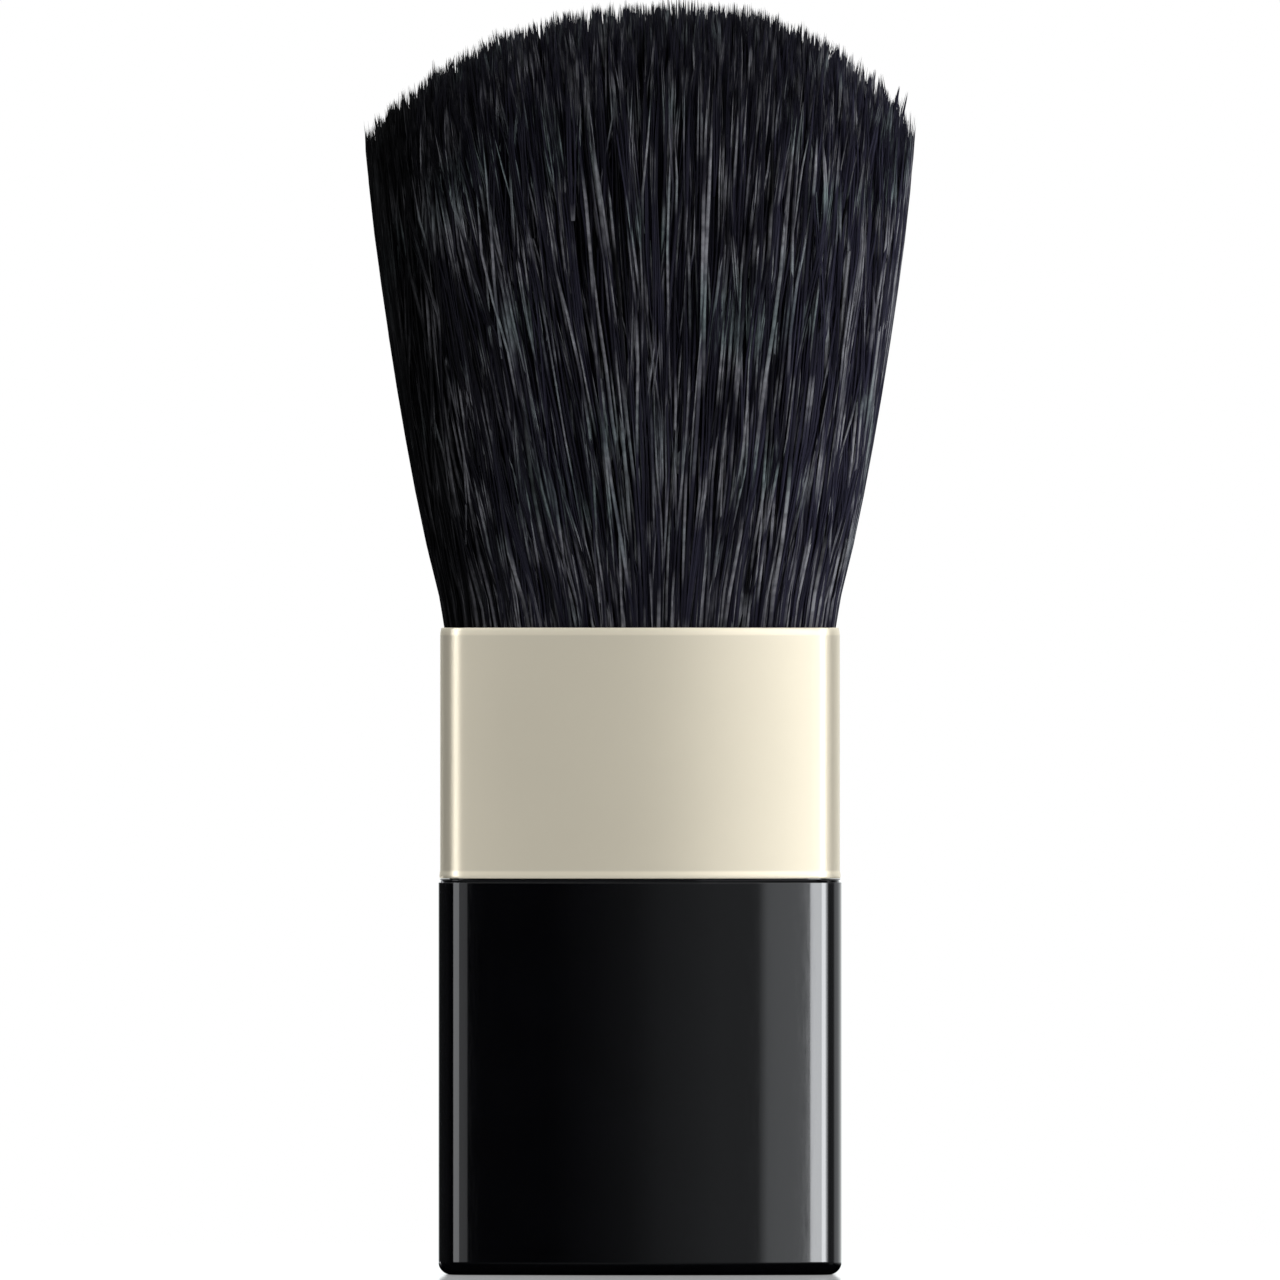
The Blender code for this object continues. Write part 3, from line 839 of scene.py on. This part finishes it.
def strand_mesh(name, paths, wisp, dice, diameter):
    """Closed three-sided tapered tubes along the paths, with a map of wisp and length."""
    count = len(paths)
    places = strand_points(paths, dice, diameter)
    points, totals, across, along = strand_faces(paths.shape[1] - 1)
    lengths = (paths[:, -1, 2] - paths[:, 0, 2])[:, None] / MAP_LENGTH
    room = 1 - STRAND_SIDES * MAP_STEP - WISP_TONE_SPREAD
    column = dice.random(wisp.max() + 1)[wisp, None] * room + dice.random((count, 1)) * WISP_TONE_SPREAD
    spots = np.stack([column + across * MAP_STEP, 1 - lengths * (1 - along)], axis=-1)

    mesh = bpy.data.meshes.new(name)
    mesh.vertices.add(count * places.shape[1])
    mesh.vertices.foreach_set("co", places.astype(np.float32).ravel())
    mesh.loops.add(count * len(points))
    numbers = points + np.arange(count)[:, None] * places.shape[1]
    mesh.loops.foreach_set("vertex_index", numbers.astype(np.int32).ravel())
    mesh.polygons.add(count * len(totals))
    starts = np.concatenate([[0], np.cumsum(np.tile(totals, count))[:-1]])
    mesh.polygons.foreach_set("loop_start", starts.astype(np.int32))
    layer = mesh.uv_layers.new(name=HAIR_MAP)
    layer.uv.foreach_set("vector", spots.astype(np.float32).ravel())
    mesh.update(calc_edges=True)
    mesh.validate()
    mesh.shade_smooth()
    return mesh


def surface_places(dice, count, face, layer_depth):
    """Where the wisps of one face start: mostly in its outer layer, and round both sides."""
    side = dice.random(count) < SIDE_WISP_SHARE
    across = dice.uniform(-1, 1, count)
    depth = dice.random(count) ** LAYER_POWER * layer_depth
    v = np.where(side, face * dice.random(count), face * (1 - depth / LAYER_HALF_DEPTH))
    return np.where(side, np.sign(across) * (1 - depth / LAYER_HALF_WIDTH), across), v


def crown_places(dice, count, side):
    """Where the wisps of one half of the dome start."""
    u = side * dice.random(count) * CROWN_REACH_SHARES[0]
    return u, dice.uniform(-1, 1, count) * CROWN_REACH_SHARES[1]


# The dark core under the strands
CORE_POINTS, CORE_LEVELS, CORE_DOME_RINGS = 160, 26, 18
CORE_DEPTH = 0.0008
CORE_TOP_DEPTH = 0.0034
CORE_FURROW_DEPTH = 0.00012
CORE_RIM_RISE = 0.0001
CORE_WIDTH_SHARE, CORE_DEPTH_SHARE = 0.97, 0.95
CORE_FOLD_SHARE = 1 / 6
RING_SQUARENESS = 0.45


def square_ring(points):
    """Places round the edge of the (u, v) square, anticlockwise, with rounded corners."""
    angle = 2 * np.pi * np.arange(points) / points
    u, v = np.cos(angle), np.sin(angle)
    return np.sign(u) * np.abs(u) ** RING_SQUARENESS, np.sign(v) * np.abs(v) ** RING_SQUARENESS


def root_rings(settings, u, v):
    """Rings of the root block in the ferrule, with the waist where the thread ties it."""
    outer = handle_section(settings.handle).inset(bore_inset(settings.ferrule) + ROOT_CLEARANCE)
    waist = outer.inset(ROOT_WAIST_DEPTH)
    waist_low, waist_high = THREAD_LOW.z - WAIST_CLEARANCE, THREAD_HIGH.z + WAIST_CLEARANCE
    levels = (
        (outer, HAIR_LOW.z), (outer, waist_low), (waist, waist_low), (waist, waist_high),
        (outer, waist_high), (outer, RIM_LEVEL - STRAND_ROOT_DEPTH / 2),
    )
    rings = []
    for section, level in levels:
        x = u * section.half_width
        rings.append(np.stack([x, v * section.reach(x), np.full_like(x, level)], axis=1))
    return rings


def core_mesh(settings):
    """One closed body: the tied root block in the ferrule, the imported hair, and a domed top."""
    head = Head(settings)
    dice = np.random.default_rng(settings.hair.seed)
    u, v = square_ring(CORE_POINTS)
    furrow = 1 - dice.random(CORE_POINTS) * CORE_FURROW_DEPTH / head.bore.half_width
    shrink_u = (1 - CORE_DEPTH / head.half_width) * furrow
    shrink_v = (1 - 2 * CORE_DEPTH / settings.hair.head_depth) * furrow
    top = head.tip_rise(u * shrink_u, v * shrink_v) - CORE_TOP_DEPTH
    rings = root_rings(settings, u, v)
    for step in range(CORE_LEVELS + 1):
        share = step / CORE_LEVELS
        fold = min(share / CORE_FOLD_SHARE, 1)
        fold_u = u * (1 + (shrink_u - 1) * fold) * CORE_WIDTH_SHARE
        fold_v = v * (1 + (shrink_v - 1) * fold) * CORE_DEPTH_SHARE
        rings.append(head.place(fold_u, fold_v, top * share + CORE_RIM_RISE))
    for step in range(1, CORE_DOME_RINGS):
        share = math.cos(math.pi / 2 * step / CORE_DOME_RINGS)
        dome_u, dome_v = u * shrink_u * share, v * shrink_v * share
        rise = head.tip_rise(dome_u, dome_v) - CORE_TOP_DEPTH
        rings.append(head.place(dome_u * CORE_WIDTH_SHARE, dome_v * CORE_DEPTH_SHARE, rise))
    return lofted("hair_core", rings)


class BLUSHBRUSH_OT_handle(bpy.types.Operator):
    """Moulds the gloss black handle"""

    bl_idname = "blush_brush.handle"
    bl_label = "Mould the handle"

    def execute(self, context):
        settings = context.scene.blush_brush
        mesh = handle_mesh(settings.handle, settings.ferrule)
        finish = gloss_plastic(settings.handle.colour)
        add_piece("handle_shell", mesh, finish, "handle_body")
        return {"FINISHED"}


class BLUSHBRUSH_OT_ferrule(bpy.types.Operator):
    """Draws the champagne ferrule"""

    bl_idname = "blush_brush.ferrule"
    bl_label = "Draw the ferrule"

    def execute(self, context):
        settings = context.scene.blush_brush
        mesh = ferrule_mesh(settings.handle, settings.ferrule)
        finish = satin_metal(settings.ferrule.colour, settings.ferrule.height)
        add_piece("ferrule_sleeve", mesh, finish, "ferrule")
        return {"FINISHED"}


def add_hair(name, head, dice, places, finish, thickness=1, in_crown=False, hairs_each=WISP_HAIRS):
    """One piece of hair, whose wisps start at these places."""
    paths, wisp = wisp_paths(head, dice, *places, in_crown, hairs_each)
    mesh = strand_mesh(name, paths, wisp, dice, head.hair.strand_diameter * thickness)
    add_piece(name, mesh, finish, "hair_bundle")


class BLUSHBRUSH_OT_hair(bpy.types.Operator):
    """Packs the core of the head and grows its strands"""

    bl_idname = "blush_brush.hair"
    bl_label = "Grow the hair"

    def execute(self, context):
        settings = context.scene.blush_brush
        hair = settings.hair
        head = Head(settings)
        add_piece("hair_core", core_mesh(settings), packed_hair(hair.dark), "hair_bundle")
        dice = np.random.default_rng(hair.seed + 1)
        finish = hair_finish("black_hair", hair.dark, hair.light, GLINT_RANGE)
        guard_finish = hair_finish("black_guard_hair", hair.dark, hair.light, GUARD_GLINT_RANGE)
        for name, face in (("hair_guard_front", -1), ("hair_guard_back", 1)):
            places = surface_places(dice, hair.guard_hairs, face, GUARD_LAYER_DEPTH)
            add_hair(name, head, dice, places, guard_finish, GUARD_DIAMETER_SHARE, hairs_each=1)
        for name, face in (("hair_front", -1), ("hair_back", 1)):
            places = surface_places(dice, hair.surface_wisps, face, SURFACE_LAYER_DEPTH)
            add_hair(name, head, dice, places, finish)
        for name, side in (("hair_crown_left", -1), ("hair_crown_right", 1)):
            places = crown_places(dice, hair.crown_wisps, side)
            add_hair(name, head, dice, places, finish, in_crown=True)
        return {"FINISHED"}


class BLUSHBRUSH_OT_inner_pieces(bpy.types.Operator):
    """Finishes the pieces hidden in the ferrule: thread, resin and adhesive"""

    bl_idname = "blush_brush.inner_pieces"
    bl_label = "Finish the inner pieces"

    def execute(self, context):
        inner = context.scene.blush_brush.inner
        finishes = (
            ("binding_thread", "waxed_thread", waxed_thread(inner.thread)),
            ("root_resin", "cured_resin", cured_resin(inner.resin)),
            ("neck_adhesive", "cured_adhesive", cured_adhesive(inner.adhesive)),
        )
        for node, slot_name, finish in finishes:
            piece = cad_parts[node]
            piece.data.materials.clear()
            piece.data.materials.append(finish)
        return {"FINISHED"}


# Lamps. Each softbox has its name, the setting that drives it, its share of that, the azimuth of
# its middle, its half angle, its lowest and highest elevation, and its share of the distance.
STUDIO_DISTANCE = 0.45
SOFTBOXES = (
    ("key_softbox", "key", 1.00, 43.25, 17.95, -8, 6, 1.00),
    ("key_core", "key", 0.60, 57, 11, -8, 6, 0.98),
    ("key_upper", "key", 0.40, 20, 11, 9, 34, 0.96),
    ("key_low", "key", 0.35, 86, 9, -34, -15, 0.97),
    ("back_low", "rim", 1.00, -142, 8, -28, -7, 0.97),
    ("rim_softbox", "rim", 0.30, -45.5, 19.5, -9, 30, 1.00),
    ("rim_core", "rim", 0.80, -54, 11, -9, 30, 0.98),
    ("rim_upper", "rim", 2.00, -67, 12, 7, 32, 0.96),
    ("upper_softbox", "key", 0.37, 66, 20, 14, 50, 0.96),
)
LAMP_TINT = (0.98, 1, 1.03)
OVERHEAD_SIZE = (0.6, 0.4)
OVERHEAD_PLACE = (0.05, -0.15, 0.75)
OVERHEAD_TILT = -0.25
OVERHEAD_SHARE = 0.12

# Floor and camera
FLOOR_RADIUS, FLOOR_SIDES = 4.0, 96
FLOOR_DROP = 0.00001
FLOOR_ROUGHNESS = 0.1
SHADOW_RADII = (0.03, 0.1)
CONTACT_REACH = (0.0005, 0.01)
FLOOR_LIFT = 0.17
SENSOR_WIDTH = 36

# The surroundings' brightness by azimuth: level with the brush, above it and below it
COOL_TINT = (0.965, 1, 1.035)
SURROUNDINGS = (
    (-180, 1), (-162, 1), (-150, 0.02), (-92, 0.02), (-78, 0), (-13, 0), (-6, 0.025),
    (-1, 0.05), (3, 0.1), (7, 0.13), (11.5, 0.17), (17.6, 0.17), (18.3, 0.8), (24, 0.85),
    (70, 0.6), (76, 0.1), (96, 0.12), (104, 0.6), (122, 0.6), (150, 1), (180, 1),
)
SKY_RISE = (0.1, 0.24)
SKY = (
    (-180, 1), (-130, 0.6), (-90, 0.4), (-40, 0.58), (0, 0.6), (27, 0.62), (40, 0.14), (62, 0.14),
    (90, 0.75), (120, 0.9), (180, 1),
)
UNDER = (
    (-180, 0.55), (-152, 0.45), (-120, 0.08), (-80, 0.03), (-56, 0.06), (-32, 0.42), (-20, 0.5),
    (28, 0.5), (42, 0.1), (70, 0.14), (104, 0.03), (118, 0.06), (136, 0.46),
    (156, 0.12), (166, 0.2), (180, 0.55),
)
UNDER_FALL = (-0.24, -0.1)


def add_lamp(name, size, brightness, tint, location, rotation):
    """A rectangular lamp that looks this bright."""
    light = bpy.data.lights.new(name, "AREA")
    light.shape = "RECTANGLE"
    light.size, light.size_y = size
    light.energy = brightness * math.pi * size[0] * size[1]
    light.color = tint
    placed(name, light, location, rotation)


def add_lamps(stage):
    """Upright softboxes that face the brush, and a broad soft light above, towards the front."""
    middle = (CAD_BOUNDS[0].z + CAD_BOUNDS[1].z) / 2
    for name, driver, share, azimuth, *angles, nearness in SOFTBOXES:
        distance = STUDIO_DISTANCE * nearness
        half_width, low, high = [distance * math.tan(math.radians(angle)) for angle in angles]
        turn = math.radians(azimuth)
        location = (distance * math.sin(turn), -distance * math.cos(turn), middle + (low + high) / 2)
        size = (2 * half_width, high - low)
        brightness = getattr(stage, driver) * share
        add_lamp(name, size, brightness, LAMP_TINT, location, (math.pi / 2, 0, turn))
    brightness = stage.key * OVERHEAD_SHARE
    add_lamp("overhead", OVERHEAD_SIZE, brightness, (1, 1, 1), OVERHEAD_PLACE, (OVERHEAD_TILT, 0, 0))


def studio_world():
    """White to the camera. Lights and reflections see dark flags in front and white behind."""
    world = bpy.data.worlds.new("studio")
    world.use_nodes = True
    world.node_tree.nodes.clear()
    bpy.context.scene.world = world
    studio = Nodes(world.node_tree)
    x, y, z = studio.add("SeparateXYZ", {0: studio.add("TexCoord")["Generated"]})
    turn = studio.maths("ARCTAN2", x, studio.times(y, -1))
    share = studio.spread(turn, 0, 1, -math.pi, math.pi)
    level, above, below = [studio.ramp(share, stops, COOL_TINT) for stops in (SURROUNDINGS, SKY, UNDER)]
    level = studio.blend(studio.spread(z, 0, 1, *UNDER_FALL), below, level)
    level = studio.blend(studio.spread(z, 0, 1, *SKY_RISE), level, above)
    around = studio.add("Background", {"Color": level})[0]
    plain = studio.add("Background", {"Color": (1, 1, 1, 1)})[0]
    to_camera = studio.add("LightPath")["Is Camera Ray"]
    seen = studio.add("MixShader", {0: to_camera, 1: around, 2: plain})[0]
    studio.add("OutputWorld", {"Surface": seen})


def floor_finish(colour):
    """White floor with a slight gloss, which keeps the brush's shadow and is plain white further out.

    Reflections in the brush see the floor only close to its base, as a dark contact shade.
    """
    finish = Finish("studio_floor")
    finish.made_of(Base_Color=shade(colour), Roughness=FLOOR_ROUGHNESS)
    where = finish.add("TexCoord")["Object"]
    far = finish.spread(finish.vectors("LENGTH", where), 0, 1, *SHADOW_RADII)
    corner = (HANDLE_HIGH.x, HANDLE_HIGH.y, 0)
    outside = finish.vectors("SUBTRACT", finish.vectors("ABSOLUTE", where), corner)
    away = finish.vectors("LENGTH", finish.vectors("MAXIMUM", outside, (0, 0, 0)))
    clear_share = finish.spread(away, 0, 1, *CONTACT_REACH, "SMOOTHSTEP")
    lift, plain, dark = [finish.add("Emission", {"Strength": level})[0] for level in (FLOOR_LIFT, 1, 0)]
    lit = finish.add("AddShader", {0: finish.shader.outputs[0], 1: lift})[0]
    matte = finish.add("BsdfDiffuse", {"Color": shade(colour)})[0]
    path = finish.add("LightPath")

    def either(share, first, second):
        return finish.add("MixShader", {0: share, 1: first, 2: second})[0]

    seen = either(path["Is Camera Ray"], matte, either(far, lit, plain))
    mirrored = either(clear_share, dark, finish.add("BsdfTransparent")[0])
    floor = either(path["Is Glossy Ray"], seen, mirrored)
    finish.feed(finish.tree.nodes["Material Output"].inputs["Surface"], floor)
    return finish.material


def add_floor(colour):
    bm = bmesh.new()
    bmesh.ops.create_circle(bm, cap_ends=True, segments=FLOOR_SIDES, radius=FLOOR_RADIUS)
    mesh = bpy.data.meshes.new("studio_floor")
    bm.to_mesh(mesh)
    bm.free()
    mesh.materials.append(floor_finish(colour))
    floor = placed("studio_floor", mesh, (0, 0, -FLOOR_DROP))


def add_camera(stage):
    data = bpy.data.cameras.new("camera")
    data.lens = stage.lens
    data.sensor_width = SENSOR_WIDTH
    distance = stage.frame_height * stage.lens / SENSOR_WIDTH
    location = (0, -distance, stage.frame_middle)
    bpy.context.scene.camera = placed("camera", data, location, (math.pi / 2, 0, 0))


class BLUSHBRUSH_OT_stage(bpy.types.Operator):
    """Sets up the floor, the lights and the camera"""

    bl_idname = "blush_brush.stage"
    bl_label = "Set the stage"

    def execute(self, context):
        stage = context.scene.blush_brush.stage
        studio_world()
        add_floor(stage.floor)
        add_lamps(stage)
        add_camera(stage)
        context.scene.view_settings.view_transform = "Standard"
        return {"FINISHED"}


STEPS = {
    "handle": BLUSHBRUSH_OT_handle,
    "ferrule": BLUSHBRUSH_OT_ferrule,
    "hair": BLUSHBRUSH_OT_hair,
    "inner": BLUSHBRUSH_OT_inner_pieces,
    "stage": BLUSHBRUSH_OT_stage,
}


class BLUSHBRUSH_PT_sidebar(bpy.types.Panel):
    """Lists the steps that build the brush, each with its settings"""

    bl_label = "Blush Brush"
    bl_space_type = "VIEW_3D"
    bl_region_type = "UI"
    bl_category = "Blush Brush"

    def draw(self, context):
        for name, step in STEPS.items():
            group = getattr(context.scene.blush_brush, name)
            box = self.layout.box()
            for setting in group.__annotations__:
                box.prop(group, setting)
            box.operator(step.bl_idname)


CLASSES = (
    HandleSettings, FerruleSettings, HairSettings, InnerSettings, StageSettings, BlushBrushSettings,
    *STEPS.values(), BLUSHBRUSH_PT_sidebar,
)


def register():
    for cls in CLASSES:
        bpy.utils.register_class(cls)
    bpy.types.Scene.blush_brush = PointerProperty(type=BlushBrushSettings)


def unregister():
    del bpy.types.Scene.blush_brush
    for cls in reversed(CLASSES):
        bpy.utils.unregister_class(cls)


def main():
    register()
    bpy.ops.blush_brush.handle()
    bpy.ops.blush_brush.ferrule()
    bpy.ops.blush_brush.hair()
    bpy.ops.blush_brush.inner_pieces()
    bpy.ops.blush_brush.stage()
    bpy.context.view_layer.update()


if __name__ == "__main__":
    main()
